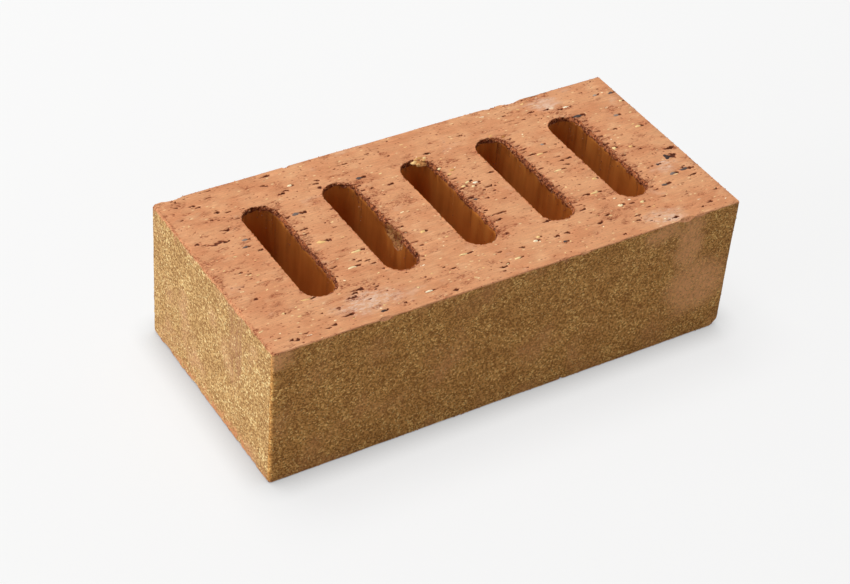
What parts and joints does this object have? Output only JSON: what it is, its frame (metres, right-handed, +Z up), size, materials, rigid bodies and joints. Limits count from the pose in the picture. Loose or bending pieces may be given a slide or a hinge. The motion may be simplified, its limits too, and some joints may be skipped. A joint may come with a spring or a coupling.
{
  "type": "brick",
  "caption": "Wire-cut extruded clay facing brick, a rectangular block with a row of round-ended slots running through from bed to bed.",
  "frame": {"origin": "middle of the lower bed face, on the surface that the brick lies on", "axes": "+X along the length towards the right header, +Y across the width towards the back stretcher, +Z up out of the upper bed"},
  "size_m": [0.215, 0.1024, 0.065],
  "materials": {
    "fired_clay": "matte salmon-orange fired clay on the wire-cut beds, with olive-brown sand on the stretcher and header faces"
  },
  "bodies": {
    "root": {"brick": "fired_clay"}
  },
  "joints": []
}
